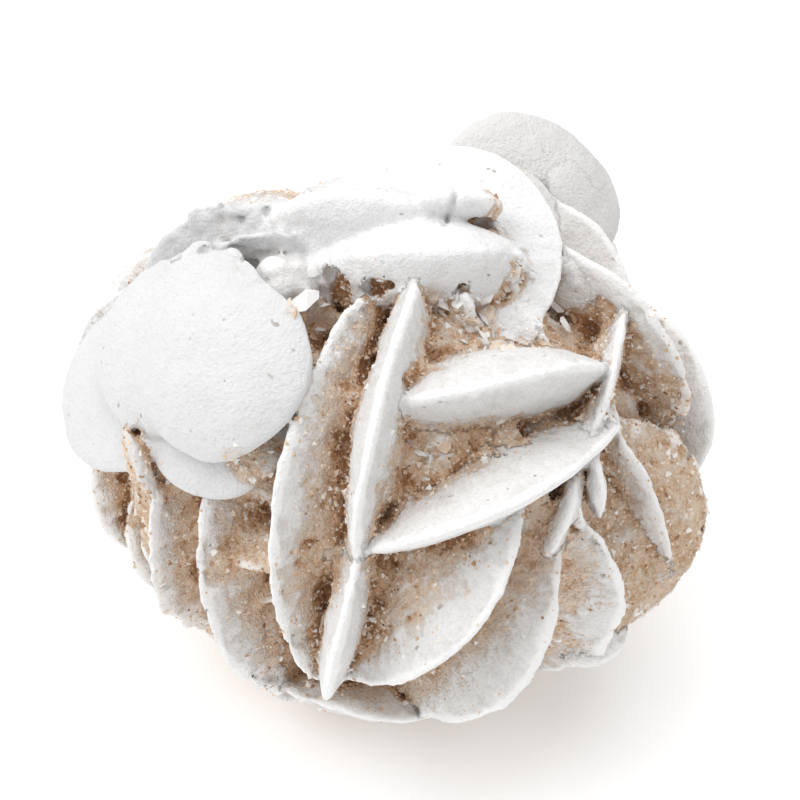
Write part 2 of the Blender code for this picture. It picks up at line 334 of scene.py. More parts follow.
LEFT_SIDE = {
    "left_disc": ((-41, 65, 1.00), (-21, 54, 1.00), (-38, 34, 1.02), 6.0),
    "left_under": ((-52, 28, 0.96), (-36, 27, 0.97), (-26, 34, 0.90), 5.0),
    "left_inner": ((-89, 52, 1.00), (-80, 35, 1.00), (-60, 29, 1.00), 5.0),
    "left_outer": ((-81, 14, 1.00), (-65, 15, 1.00), (-53, 23, 0.95), 5.0),
    "left_strip": ((-59, 28, 0.97), (-49, 28, 1.05), (-48, 21, 0.95), 2.0),
    "left_ridge": ((-100, 47, 0.98), (-100, 57, 1.00), (-101, 66, 0.98), 4.0),
    "left_ridge_front": ((-88, 51, 0.96), (-84, 60, 0.98), (-81, 68, 0.96), 3.0),
}
LEFT_FULLNESS = 2.6
LEFT_SOFTNESS = 1.6

grow("left_side", LEFT_SIDE, LEFT_FULLNESS, LEFT_SOFTNESS)


# ----------
# The back: more blades of gypsum like those of the front fan, mostly upright.
# Broad low ones lie across their feet, and the sand of the bed holds them all.

BACK = {
    "back_long": ((148, 46, 0.88), (163, 14, 1.00), (158, -20, 0.92), 7.0),
    "back_long_left": ((-164, 24, 0.78), (-154, 4, 0.95), (-158, -22, 0.92), 7.0),
    "back_almond": ((166, 24, 0.84), (-174, 12, 0.96), (-150, 2, 0.90), 7.0),
    "back_almond_low": ((166, 18, 0.90), (-176, 6, 1.02), (-152, -4, 0.92), 6.0),
    "back_leaf": ((-140, 36, 0.78), (-130, 8, 0.95), (-138, -24, 0.94), 6.0),
    "back_leaf_outer": ((-118, 26, 0.84), (-108, 0, 0.97), (-112, -24, 0.94), 6.0),
    "back_fin": ((128, 30, 0.86), (130, 2, 0.98), (126, -22, 0.92), 6.0),
    "back_disc": ((112, 14, 0.88), (101, -6, 0.96), (112, -24, 0.94), 6.0),
    "back_low": ((150, -6, 0.92), (172, -24, 1.02), (-160, -22, 0.94), 6.0),
    "back_low_left": ((-150, -12, 0.92), (-132, -28, 1.02), (-112, -24, 0.94), 6.0),
    "back_low_right": ((98, -14, 0.94), (116, -28, 1.02), (140, -24, 0.94), 6.0),
}
BACK_FULLNESS = 2.4  # of the underside and the rear flank too

grow("back", BACK, BACK_FULLNESS)


# ----------
# The underside and the low flanks: shorter gypsum blades that lie flatter, and three high at the back.
# The bed holds them, and the lowest are cut off level with the worn flat.

UNDERSIDE = {
    "left_low": ((-92, 0, 0.86), (-78, -18, 0.93), (-82, -36, 0.90), 5.0),
    "left_low_front": ((-66, -12, 0.84), (-56, -27, 0.88), (-44, -36, 0.87), 5.0),
    "left_flank": ((-96, 12, 0.86), (-90, -8, 0.93), (-100, -30, 0.90), 5.0),
    "left_flank_low": ((-74, -18, 0.86), (-70, -34, 0.93), (-84, -50, 0.88), 5.0),
    "under_left": ((-58, -36, 0.88), (-64, -50, 0.95), (-92, -60, 0.90), 5.0),
    "under_front_left": ((-28, -30, 0.88), (-26, -44, 0.95), (-40, -60, 0.90), 6.0),
    "front_foot": ((-20, -28, 0.92), (-6, -25, 0.96), (12, -32, 0.95), 4.0),
    "under_front": ((2, -36, 0.90), (6, -48, 0.96), (-4, -62, 0.90), 6.0),
    "under_front_right": ((34, -30, 0.90), (36, -44, 0.96), (26, -60, 0.90), 6.0),
    "under_right": ((68, -28, 0.90), (70, -44, 0.96), (62, -60, 0.90), 5.0),
    "under_right_back": ((98, -34, 0.90), (102, -46, 0.96), (96, -62, 0.90), 6.0),
    "under_back": ((150, -38, 0.90), (160, -50, 0.96), (176, -60, 0.90), 6.0),
    "under_back_left": ((-170, -36, 0.90), (-156, -50, 0.96), (-150, -62, 0.90), 6.0),
    "under_left_back": ((-124, -32, 0.90), (-116, -48, 0.96), (-124, -62, 0.90), 5.0),
    "crown_rear": ((-150, 62, 0.76), (-135, 50, 0.80), (-112, 40, 0.78), 6.0),
    "back_left_upper": ((-128, 54, 0.76), (-118, 42, 0.82), (-104, 24, 0.84), 6.0),
    "back_right_upper": ((140, 44, 0.84), (122, 38, 0.89), (106, 28, 0.86), 5.0),
}

grow("underside", UNDERSIDE, BACK_FULLNESS)


# ----------
# The rear flank: blades between the left side and the back, and across the top of the back.
# Middle-sized ones that cross each other and leave little bare sand.

REAR_FLANK = {
    "flank_upright": ((-98, 36, 0.90), (-96, 20, 0.98), (-96, 2, 0.90), 4.0),
    "flank_slant": ((-122, 42, 0.80), (-110, 32, 0.92), (-98, 18, 0.88), 5.0),
    "flank_fin": ((-106, 44, 0.80), (-114, 26, 0.92), (-108, 8, 0.88), 5.0),
    "flank_cross": ((-132, 18, 0.86), (-118, 12, 0.97), (-98, 8, 0.86), 5.0),
    "flank_low_cross": ((-126, -4, 0.88), (-112, -12, 0.98), (-94, -14, 0.88), 5.0),
    "flank_rear": ((-126, 44, 0.75), (-136, 28, 0.86), (-128, 12, 0.84), 5.0),
    "rear_cross": ((-156, 26, 0.82), (-142, 18, 0.91), (-124, 20, 0.84), 5.0),
    "rear_top": ((-164, 68, 0.76), (-176, 52, 0.83), (174, 34, 0.84), 5.0),
    "rear_top_cross": ((-144, 44, 0.74), (-166, 42, 0.79), (170, 46, 0.74), 5.0),
    "rear_top_left": ((-130, 62, 0.68), (-150, 50, 0.75), (-160, 32, 0.78), 5.0),
    "rear_shoulder": ((156, 60, 0.82), (146, 46, 0.92), (130, 40, 0.86), 5.0),
}

grow("rear_flank", REAR_FLANK, BACK_FULLNESS)


# ----------
# The crust: the skin of all that has grown above, in one surface. Sand creeps up the foot of each blade,
# coarse where it lies deep between blades and almost smooth on the open rims.

SAND_CREEP = 1.1
SAND_CLIMB = 6.5
CREVICE_START = 0.46  # how closed in a spot is where sand begins to gather
CREVICE_FADE = 0.16
DEEP_REACH = 0.97
DEEP_FADE = 0.12
SHALLOW_SAND = 0.25
RAY_SHARE = 0.22
RAY_STEP = 3.7  # keeps the streaks of one blade apart from the next one's
RELIEF = ((0.75, 0.40), (1.4, 0.5), (2.6, 0.5))  # the size across and the share of the lumps in it
ROUGH_HEIGHT = 0.60
CLEAN_HEIGHT = 0.15
RELIEF_BAND = 1.2
RIM_SMOOTHNESS = 0.6  # how much of the relief is missing on the rims
RIM_START = 0.52
RIM_FADE = 0.14
CREVICE_REACH = 2.6
RIM_REACH = 1.2
FLAT_SNAP = 0.12


def spread_out(values, reach):
    """Values averaged over about reach mm in every direction."""
    steps = max(1, round(reach / GRID_STEP / 2))
    for axis in (0, 1, 2, 0, 1, 2):
        edge = [(steps + 1, steps) if i == axis else (0, 0) for i in range(3)]
        sums = np.cumsum(np.pad(values, edge, mode="edge"), axis=axis, dtype=np.float32)
        length = values.shape[axis]
        above = sums.take(range(2 * steps + 1, 2 * steps + 1 + length), axis=axis)
        below = sums.take(range(0, length), axis=axis)
        values = (above - below) / (2 * steps + 1)
    return values


def sampled(values, points):
    """A field's values at any points, between the grid's own."""
    spot = (points - grid_low) / GRID_STEP
    cell = np.clip(np.floor(spot).astype(int), 0, np.array(values.shape) - 2)
    return between_corners(values, cell, (spot - cell).astype(np.float32))


# How much more or less sand clings to a group, to a blade and round a place.
GROUP_SAND = {
    "right_side": 0.05,
    "tall_disc": -0.50,
    "crown": -0.50,
    "hollow_crystals": -0.15,
    "left_side": -0.60,
}
BLADE_SAND = {
    "upper_almond": -0.30,
    "lower_almond": -0.35,
    "front_leaf": 0.15,
    "front_low": 0.15,
    "right_low": 0.15,
    "right_foot": 0.60,
    "right_disc": -0.10,
    "shoulder": 0.25,
    "back_right_upper": -1.0,
    "left_strip": 0.70,
}
SANDY_SPOTS = {
    "left end of the lens": ((-39, 75), 4.5, 1.4),
    "front of the lens": ((-3, 77), 3.5, 1.2),
    "triangle beside the left disc": ((-34, 64), 5, 1.4),
    "face under the left disc": ((-29, 36), 8, 1.5),
    "lower face of the shoulder": ((77, 20), 12, 0.5),
    "between the left strips": ((-51, 22), 6, 0.9),
    "right end of the crown lens": ((70, 64), 5, 1.3),
    "under the chip at the end of the slab": ((93, 72), 5, 1.8),
    "crest of the crown disc": ((163, 78), 4, 0.9),
    "left end of the crest": ((-91, 75), 1.5, 1.2),
    "back of the crest": ((-130, 70), 38, -1.6),
    "between the tall disc and the shoulder": ((118, 42), 17, -1.3),
    "top of the shoulder": ((91, 50), 9, -0.8),
    "back of the rose below the crest": ((-141, 42), 17, -1.3),
    "under the ledge of the foot": ((70, -7), 9, 1.1),
    "below the back of the crest": ((-162, 52), 24, -1.1),
    "broken edge of the tall disc": ((112, 47), 4, 0.7),
    "between the left disc and the slab": ((-66, 68), 10, -0.9),
    "crest behind the left disc": ((-98, 61), 14, -0.9),
}
# Places where the crust is lumpy and dull, with painted shade in its lows, though free of sand: how far it
# spreads, and how lumpy, in mm.
ROUGH_SPOTS = {
    "crest behind the left disc": ((-92, 57), 13, 0.9),
    "top of the crest": ((-101, 66), 12, 0.7),
    "between the left disc and the slab": ((-64, 69), 11, 0.9),
    "front of the slab": ((-30, 76), 7, 0.5),
    "right end of the crown lens": ((70, 64), 7, 0.50),
}

# A crack follows these directions over the surface.
CRACKS = {"across the end of the slab": ((105, 79), (83, 79), (65, 79))}
CRACK_WIDTH = 0.38
CRACK_DEPTH = 0.38
# Small holes between the blades: direction, reach of the middle and radius in mm.
CAVITIES = {
    "under the left end of the lens": ((-40, 76), 0.84, 1.6),
    "below it": ((-38, 74), 0.80, 1.4),
    "under the front of the lens": ((-8, 77), 0.86, 1.5),
    "right of it": ((3, 77), 0.88, 1.1),
    "under the right end of the lens": ((48, 71), 0.87, 1.0),
    "under the chip at the end of the slab": ((92, 73), 0.93, 1.3),
    "right of the chip": ((87, 70), 0.93, 1.0),
    "behind both": ((100, 71), 0.88, 1.3),
    "triangle beside the left disc": ((-37, 65), 0.82, 1.3),
    "below the triangle": ((-30, 63), 0.82, 1.1),
    "over the left disc": ((-82, 54), 1.01, 0.8),
    "behind its top": ((-80, 59), 1.01, 0.7),
}


def ways_to(points):
    """The unit directions of points from the rose's middle, as on its ellipsoid."""
    ways = (points - ROSE_MIDDLE) / ROSE_HALF
    ways /= np.linalg.norm(ways, axis=1)[:, None]
    return ways


def angles_from(ways, middle):
    """The angle in degrees between each of these directions and one place on the rose."""
    return np.degrees(np.arccos(np.clip(ways @ direction_of(*middle), -1, 1)))


def spot_share(points, spots):
    """The summed amounts of these spots at each point, each fading with the angle from its middle."""
    ways = ways_to(points)
    total = np.zeros(len(points), np.float32)
    for middle, spread, amount in spots.values():
        total += amount * smooth(1 - angles_from(ways, middle) / spread)
    return total


def sand_share(points, crevice, sand_gap, reach, owner):
    """How sandy a spot is, from 0 on an open face to 1 on the packed sand."""
    closed = smooth((crevice - CREVICE_START) / CREVICE_FADE)
    deep = smooth((DEEP_REACH - reach) / DEEP_FADE)
    share = np.maximum(1 - sand_gap / SAND_CLIMB, closed * (SHALLOW_SAND + (1 - SHALLOW_SAND) * deep))
    return np.clip(share + owner_sand[owner] + spot_share(points, SANDY_SPOTS), 0, 1)


owner_sand = [
    GROUP_SAND.get(made["group"], 0.0) + BLADE_SAND.get(made["name"], 0.0) for made in blades_made
]
owner_sand = np.array(owner_sand + [0.0])
rose_field = blend(blade_field, sand_field, SAND_CREEP)
solid = (rose_field < 0).astype(np.float32)
crevice_field = spread_out(solid, CREVICE_REACH)
edge_field = spread_out(solid, RIM_REACH)
del solid

band = np.flatnonzero(np.abs(rose_field) < RELIEF_BAND)
band_points = grid_points(band)
band_owner = np.where(sand_field.flat[band] < blade_field.flat[band], -1, blade_owner.flat[band])
sandiness = sand_share(
    band_points, crevice_field.flat[band], sand_field.flat[band], grid_reach.flat[band], band_owner
)
relief = sum(share * cloud(band_points, size, seed=2 + i) for i, (size, share) in enumerate(RELIEF))
relief_height = CLEAN_HEIGHT + (ROUGH_HEIGHT - CLEAN_HEIGHT) * sandiness
relief_height += spot_share(band_points, ROUGH_SPOTS)
relief_height *= 1 - RIM_SMOOTHNESS * smooth((RIM_START - edge_field.flat[band]) / RIM_FADE)
rose_field.flat[band] -= relief * relief_height
outwards = (band_points - ROSE_MIDDLE) / ROSE_HALF
outwards *= (ROSE_HALF.mean() / np.linalg.norm(outwards, axis=1))[:, None]
for course in CRACKS.values():
    corners = [direction_of(*place) * ROSE_HALF.mean() for place in course]
    for begin, end in zip(corners, corners[1:]):
        share = np.clip((outwards - begin) @ (end - begin) / ((end - begin) @ (end - begin)), 0, 1)
        gap = np.linalg.norm(outwards - begin - share[:, None] * (end - begin), axis=1)
        rose_field.flat[band] += CRACK_DEPTH * smooth(1 - gap / CRACK_WIDTH)
for middle, reach, radius in CAVITIES.values():
    gap = np.linalg.norm(band_points - ROSE_MIDDLE - direction_of(*middle) * ROSE_HALF * reach, axis=1)
    rose_field.flat[band] = np.maximum(rose_field.flat[band], radius - gap)
rose_field = np.maximum(rose_field, -grid_lines[2].reshape(1, 1, -1)).astype(np.float32)


def skin(field):
    """The surface where a field is 0: vertices in millimetres, and quads that face outwards."""
    inside = field < 0
    counts = np.zeros(np.array(field.shape) - 1, np.int8)
    for corner in CELL_CORNERS:
        counts += inside[tuple(slice(c, c + n) for c, n in zip(corner, counts.shape))]
    cells = np.argwhere((counts > 0) & (counts < 8))
    numbers = np.full(counts.shape, -1, np.int32)
    numbers[tuple(cells.T)] = np.arange(len(cells))
    total = np.zeros((len(cells), 3))
    crossings = np.zeros(len(cells))
    for axis in range(3):
        step = np.eye(3, dtype=int)[axis]
        for corner in CELL_CORNERS:
            if corner[axis]:
                continue
            begin = field[tuple((cells + corner).T)]
            end = field[tuple((cells + corner + step).T)]
            crossed = (begin < 0) != (end < 0)
            part = np.where(crossed, begin / np.where(crossed, begin - end, 1), 0)
            total += np.where(crossed[:, None], cells + corner + part[:, None] * step, 0)
            crossings += crossed
    vertices = grid_low + GRID_STEP * total / crossings[:, None]
    quads = []
    for axis in range(3):
        second, third = (axis + 1) % 3, (axis + 2) % 3
        begin = np.take(inside, range(0, inside.shape[axis] - 1), axis=axis)
        end = np.take(inside, range(1, inside.shape[axis]), axis=axis)
        edges = np.argwhere(begin != end)
        edges = edges[(edges[:, second] > 0) & (edges[:, third] > 0)]
        edges = edges[(edges[:, second] < counts.shape[second]) & (edges[:, third] < counts.shape[third])]
        outward = begin[tuple(edges.T)]
        back = np.eye(3, dtype=int)
        ring = [edges, edges - back[second], edges - back[second] - back[third], edges - back[third]]
        ring = np.stack([numbers[tuple(place.T)] for place in ring], axis=1)
        quads.append(np.where(outward[:, None], ring[:, ::-1], ring))
    return vertices, np.concatenate(quads)


def largest_shell(vertices, quads):
    """The quads of the largest connected surface, without closed pockets and stray bits."""
    label = np.arange(len(vertices))
    while True:
        lowest = label[quads].min(axis=1)
        fresh = label.copy()
        for corner in range(4):
            np.minimum.at(fresh, quads[:, corner], lowest)
        fresh = fresh[fresh]
        if (fresh == label).all():
            break
        label = fresh
    return quads[label[quads[:, 0]] == np.bincount(label[quads[:, 0]]).argmax()]


crust_points, crust_quads = skin(rose_field)
crust_quads = largest_shell(crust_points, crust_quads)
used, crust_quads = np.unique(crust_quads, return_inverse=True)
crust_quads = crust_quads.reshape(-1, 4)
crust_points = crust_points[used]
crust_points[:, 2] = np.where(crust_points[:, 2] < FLAT_SNAP, 0, crust_points[:, 2])
diagonals = crust_points[crust_quads[:, 2:]] - crust_points[crust_quads[:, :2]]
quad_normals = np.cross(diagonals[:, 0], diagonals[:, 1])
crust_normals = np.zeros((len(crust_points), 3))
for corner, axis in itertools.product(range(4), range(3)):
    shares = np.bincount(crust_quads[:, corner], quad_normals[:, axis], len(crust_points))
    crust_normals[:, axis] += shares
crust_normals /= np.linalg.norm(crust_normals, axis=1)[:, None]
crust_sand_gap = sampled(sand_field, crust_points)
crust_crevice = sampled(crevice_field, crust_points)
nearest_cell = np.rint((crust_points - grid_low) / GRID_STEP).astype(int)
crust_owner = blade_owner[tuple(nearest_cell.T)]
crust_owner = np.where(crust_sand_gap < sampled(blade_field, crust_points), -1, crust_owner)
crust_reach = sampled(grid_reach, crust_points)
crust_sandiness = sand_share(crust_points, crust_crevice, crust_sand_gap, crust_reach, crust_owner)

# Each point's place on its own blade: round the rim, and a little way inwards, for streaks that run in.
middles = np.array([made["centre"] for made in blades_made] + [ROSE_MIDDLE])
radii = np.array([made["radius"] for made in blades_made] + [ROSE_HALF[0]])
frames = np.array([made["axes"] for made in blades_made] + [np.eye(3)])
local = np.einsum("nij,nj->ni", frames[crust_owner], crust_points - middles[crust_owner])
inwards = np.hypot(local[:, 0], local[:, 1])
round_rim = local[:, :2] / np.maximum(inwards, 0.1)[:, None] * radii[crust_owner][:, None]
crust_ray = np.column_stack([round_rim, inwards * RAY_SHARE + crust_owner * RAY_STEP])

# What the finish depends on, from point to point.
CRUST_MARKS = {
    "sandiness": crust_sandiness,
    "crevice": crust_crevice,
    "edge": sampled(edge_field, crust_points),
    "lumpiness": spot_share(crust_points, ROUGH_SPOTS),
}

# The rims' white: bare gypsum with a painted highlight on the sharp edges; also the whitest crumbs and
# flakes.
RIM_WHITE = (0.90, 0.895, 0.89, 1.0)
FACE_WHITE = (0.775, 0.768, 0.76, 1.0)
FACE_GREY = (0.58, 0.555, 0.53, 1.0)
# Grey painted as shade in small pits and in the lows between lumps.
PIT_SHADE_GREY = (0.30, 0.26, 0.22, 1.0)
SAND_PALE = (0.77, 0.645, 0.525, 1.0)
SAND_TAN = (0.63, 0.42, 0.27, 1.0)
SAND_BROWN = (0.34, 0.175, 0.08, 1.0)
CHALK_ROUGHNESS = 0.9
CHALK_SHINE = 0.25
BUMP_DEPTH = 0.6 * MM

# How large the marks of the finish are across, in mm.
PATCH_SIZE = 4.0
LUMP_SIZE = 2.0
PIT_SIZE = 1.1
CRUMB_SIZE = 0.9
STREAK_SIZE = 0.9
CHIP_SIZE = 0.75
GRIT_SIZE = 0.35
# The noise values between which a mask goes from nothing to all.
RIM_HIGHLIGHT = (0.52, 0.40)
DULL_PATCHES = (0.90, 1.25)
GRITTY_SPECKS = (0.56, 0.34)
LUMP_SHADE_LOWS = (0.44, 0.30)
PIT_SHADE_DOTS = (0.72, 0.80)
CREVICE_SHADE_SAND = (0.56, 0.80)
PALE_TONES = (1.05, 1.40)
BROWN_TONES = (1.08, 0.78)
GYPSUM_CHIPS = (0.60, 0.68)
SAND_COVER = (1.38, 1.88)


def feed(tree, socket, value):
    """Links a socket from another one, or gives it a value."""
    if isinstance(value, bpy.types.NodeSocket):
        tree.links.new(value, socket)
    else:
        socket.default_value = value


def add_node(tree, kind, inputs=(), **settings):
    """A node with its settings, its inputs fed by name."""
    node = tree.nodes.new(kind)
    for name, value in settings.items():
        setattr(node, name, value)
    for name, value in dict(inputs).items():
        feed(tree, node.inputs[name], value)
    return node


def noise(tree, coordinates, size, detail=3.0, roughness=0.6):
    """Noise over the surface whose features are about size mm across."""
    inputs = {"Vector": coordinates, "Scale": 1 / (size * MM), "Detail": detail, "Roughness": roughness}
    return add_node(tree, "ShaderNodeTexNoise", inputs).outputs["Fac"]


def between(tree, factor, low, high):
    """factor taken from low..high to 0..1 with a gentle start and end."""
    inputs = {"Value": factor, "From Min": low, "From Max": high}
    return add_node(tree, "ShaderNodeMapRange", inputs, interpolation_type="SMOOTHSTEP").outputs["Result"]


def maths(tree, operation, *values):
    """One sum on values or sockets."""
    return add_node(tree, "ShaderNodeMath", enumerate(values), operation=operation).outputs[0]


def weighed(tree, *terms):
    """The sum of sockets, each times its share."""
    total = 0.0
    for share, socket in terms:
        total = maths(tree, "MULTIPLY_ADD", socket, share, total)
    return total


def mixed(tree, factor, first, second):
    """Two colours or colour sockets mixed by a factor."""
    node = add_node(tree, "ShaderNodeMix", {"Factor": factor}, data_type="RGBA")
    feed(tree, node.inputs[6], first)
    feed(tree, node.inputs[7], second)
    return node.outputs[2]


def sand_and_chalk():
    """The finish of the crust: chalky gypsum that turns to packed sand in the crevices, with white rims; a
    painted highlight on the rims and painted shade in the deep crevices, pits and lows.
    """
    tree = bpy.data.node_groups.new("sand_and_chalk", "ShaderNodeTree")
    colours = {
        "Rim": RIM_WHITE,
        "Face": FACE_WHITE,
        "Shade": FACE_GREY,
        "Pit Shade": PIT_SHADE_GREY,
        "Pale Sand": SAND_PALE,
        "Tan Sand": SAND_TAN,
        "Brown Sand": SAND_BROWN,
    }
    for name, colour in colours.items():
        socket = tree.interface.new_socket(name, in_out="INPUT", socket_type="NodeSocketColor")
        socket.default_value = colour
    for name in ("Mottling", "Streaks"):
        socket = tree.interface.new_socket(name, in_out="INPUT", socket_type="NodeSocketFloat")
        socket.default_value = 0.5
    tree.interface.new_socket("Colour", in_out="OUTPUT", socket_type="NodeSocketColor")
    tree.interface.new_socket("Height", in_out="OUTPUT", socket_type="NodeSocketFloat")
    given = tree.nodes.new("NodeGroupInput").outputs
    where = add_node(tree, "ShaderNodeTexCoord").outputs["Object"]
    ray = add_node(tree, "ShaderNodeAttribute", attribute_name="ray").outputs["Vector"]
    sandiness, crevice, edge, lumpiness = [
        add_node(tree, "ShaderNodeAttribute", attribute_name=name).outputs["Fac"] for name in CRUST_MARKS
    ]
    patches = noise(tree, where, PATCH_SIZE)
    lumps = noise(tree, where, LUMP_SIZE)
    crumbs = noise(tree, where, CRUMB_SIZE, detail=4.0, roughness=0.75)
    grit = noise(tree, where, GRIT_SIZE, detail=2.0)
    even = maths(tree, "MULTIPLY_ADD", given["Streaks"], -0.5, 0.5)
    streaks = maths(tree, "MULTIPLY_ADD", noise(tree, ray, STREAK_SIZE), given["Streaks"], even)

    # Chalk: white along the rims, bare gypsum with a painted highlight, duller on the faces, with cloudy
    # patches, faint streaks, and grey pits and lump lows of painted shade.
    rim = between(tree, weighed(tree, (1.0, edge), (0.12, crumbs)), *RIM_HIGHLIGHT)
    cloudy = weighed(tree, (0.8, patches), (0.6, crumbs), (0.6, streaks))
    mottling = weighed(tree, (1.0, given["Mottling"]), (0.5, lumpiness))
    dull = maths(tree, "MULTIPLY", between(tree, cloudy, *DULL_PATCHES), mottling)
    face = mixed(tree, dull, given["Face"], given["Shade"])
    gritty = maths(tree, "MULTIPLY", between(tree, grit, *GRITTY_SPECKS), mottling)
    # Painted shade: grey in the lows between lumps on the lumpy spots, and in small dark pits.
    lump_shade = maths(tree, "MULTIPLY", between(tree, lumps, *LUMP_SHADE_LOWS), lumpiness)
    pit_shade = between(tree, noise(tree, where, PIT_SIZE, detail=1.0), *PIT_SHADE_DOTS)
    for mask, share, shade in ((gritty, 0.6, "Shade"), (lump_shade, 0.4, "Pit Shade"), (pit_shade, 0.7, "Pit Shade")):
        face = mixed(tree, maths(tree, "MULTIPLY", mask, share), face, given[shade])
    chalk = mixed(tree, rim, face, given["Rim"])

    # Sand: brown to pale from lump to lump, browner in the closed-in crevices as painted shade, with crumbs
    # of gypsum in it.
    # The more closed in a spot is, the browner its sand: painted shade.
    deep = between(tree, crevice, *CREVICE_SHADE_SAND)
    tone = weighed(tree, (0.9, lumps), (1.0, crumbs), (0.6, grit), (-0.45, deep))
    sand = mixed(tree, between(tree, tone, *PALE_TONES), given["Tan Sand"], given["Pale Sand"])
    sand = mixed(tree, between(tree, tone, *BROWN_TONES), sand, given["Brown Sand"])
    chips = between(tree, noise(tree, where, CHIP_SIZE, detail=2.0), *GYPSUM_CHIPS)
    sand = mixed(tree, maths(tree, "MULTIPLY", chips, 0.45), sand, given["Face"])

    # The sand thins out up the faces in ragged streaks and leaves the rims bare.
    cover = weighed(tree, (1.0, sandiness), (0.9, lumps), (0.8, crumbs), (0.5, streaks))
    cover = between(tree, cover, *SAND_COVER)
    cover = maths(tree, "MULTIPLY", cover, maths(tree, "MULTIPLY_ADD", rim, -0.8, 1.0))
    colour = mixed(tree, cover, chalk, sand)

    height = weighed(tree, (0.5, crumbs), (0.5, grit), (0.25, streaks))
    height = maths(tree, "MULTIPLY", height, maths(tree, "MULTIPLY_ADD", cover, 0.4, 0.6))
    add_node(tree, "NodeGroupOutput", {"Colour": colour, "Height": height})
    return tree


SAND_AND_CHALK = sand_and_chalk()


def new_material(name, roughness):
    """A material of this roughness, with its node tree and its surface."""
    material = bpy.data.materials.new(name)
    material.use_nodes = True
    surface = material.node_tree.nodes["Principled BSDF"]
    surface.inputs["Roughness"].default_value = roughness
    return material, material.node_tree, surface


def crust_material(name, changes):
    """Gypsum and sand in the shades of one part of the crust."""
    material, tree, surface = new_material(name, CHALK_ROUGHNESS)
    surface.inputs["Specular IOR Level"].default_value = CHALK_SHINE
    finish = tree.nodes.new("ShaderNodeGroup")
    finish.node_tree = SAND_AND_CHALK
    for label, value in changes.items():
        finish.inputs[label].default_value = value
    relief = {"Height": finish.outputs["Height"], "Strength": 1.0, "Distance": BUMP_DEPTH}
    bump = add_node(tree, "ShaderNodeBump", relief)
    tree.links.new(finish.outputs["Colour"], surface.inputs["Base Color"])
    tree.links.new(bump.outputs["Normal"], surface.inputs["Normal"])
    return material


scene = bpy.context.scene


def mesh_of(name, points, faces, rounded):
    """A mesh of points in mm and faces with equal numbers of corners, shaded round or flat."""
    mesh = bpy.data.meshes.new(name)
    mesh.vertices.add(len(points))
    mesh.vertices.foreach_set("co", (points * MM).astype(np.float32).ravel())
    mesh.loops.add(faces.size)
    mesh.loops.foreach_set("vertex_index", faces.astype(np.int32).ravel())
    mesh.polygons.add(len(faces))
    mesh.polygons.foreach_set("loop_start", np.arange(0, faces.size, faces.shape[1], dtype=np.int32))
    mesh.update(calc_edges=True)
    mesh.polygons.foreach_set("use_smooth", np.full(len(faces), rounded))
    return mesh


def in_scene(name, mesh, material):
    """The object of one mesh, in its material."""
    mesh.materials.append(material)
    piece = bpy.data.objects.new(name, mesh)
    scene.collection.objects.link(piece)
    return piece


def cut_out(name, quads, material):
    """One piece of the crust, with what its finish depends on as attributes."""
    kept, faces = np.unique(quads, return_inverse=True)
    mesh = mesh_of(name, crust_points[kept], faces.reshape(-1, 4), True)
    for label, values in CRUST_MARKS.items():
        attribute = mesh.attributes.new(label, "FLOAT", "POINT")
        attribute.data.foreach_set("value", values[kept].astype(np.float32))
    attribute = mesh.attributes.new("ray", "FLOAT_VECTOR", "POINT")
    attribute.data.foreach_set("vector", (crust_ray[kept] * MM).astype(np.float32).ravel())
    mesh.normals_split_custom_set_from_vertices(crust_normals[kept].astype(np.float32))
    return in_scene(name, mesh, material)


# A white painted greyer as shade, for the left side that faces the key lamp.
LEFT_SHADED_WHITE = (0.70, 0.70, 0.705, 1.0)
# A grey painted as shade on the tall disc, which is turned away from the key lamp.
SHADED_DISC_GREY = (0.70, 0.695, 0.69, 1.0)
CROWN_WHITE = (0.83, 0.83, 0.835, 1.0)
# Darker sands painted as the shade of the right side, which is turned away from the key lamp.
SHADED_PALE_SAND = (0.68, 0.54, 0.415, 1.0)
SHADED_TAN_SAND = (0.52, 0.335, 0.20, 1.0)
CRUST_FINISHES = {
    "front_fan": {"Streaks": 1.0},
    "right_side": {"Mottling": 0.7, "Streaks": 1.0, "Pale Sand": SHADED_PALE_SAND, "Tan Sand": SHADED_TAN_SAND},
    # The tall disc's grey Face and Rim are painted shade.
    "tall_disc": {"Face": SHADED_DISC_GREY, "Rim": SHADED_DISC_GREY, "Mottling": 0.3, "Streaks": 0.6},
    "crown": {"Face": CROWN_WHITE, "Mottling": 0.25, "Streaks": 0.3},
    "hollow_crystals": {"Mottling": 0.3},
    # The left side's greyer Face and Rim are painted shade against the key lamp.
    "left_side": {"Face": LEFT_SHADED_WHITE, "Rim": LEFT_SHADED_WHITE, "Mottling": 0.22, "Streaks": 0.0},
    "back": {"Streaks": 1.0},
    "underside": {"Streaks": 1.0},
    "rear_flank": {"Streaks": 1.0},
    "sand_bed": {"Streaks": 0.0},
}
group_names = list(CRUST_FINISHES)
group_of = np.array([group_names.index(made["group"]) for made in blades_made] + [len(group_names) - 1])
quad_group = group_of[crust_owner[crust_quads[:, 0]]]
for number, (group, finish) in enumerate(CRUST_FINISHES.items()):
    chosen = crust_quads[quad_group == number]
    piece = cut_out(group, chosen, crust_material(f"{group}_gypsum", finish))
    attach(piece, "root")
    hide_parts("sand_rose")


# ----------
# The flakes: small flat six-sided crystals of gypsum that stand in the sand of the hollow and near it.
# Each is a free crystal, grown late on the sand and half sunk in it.

FLAKE_BEDS = {
    "under the right end of the crown lens": ((71, 65), 9, 34),
    "over the left discs": ((-38, 68), 7, 16),
    "right of the long middle blade": ((46, 70), 7, 20),
    "foot of the fang": ((50, 60), 9, 36),
    "between the almonds": ((14, 40), 5, 22),
    "right of the fang": ((90, 48), 7, 16),
    "crest of the crown": ((163, 78), 4, 8),
}
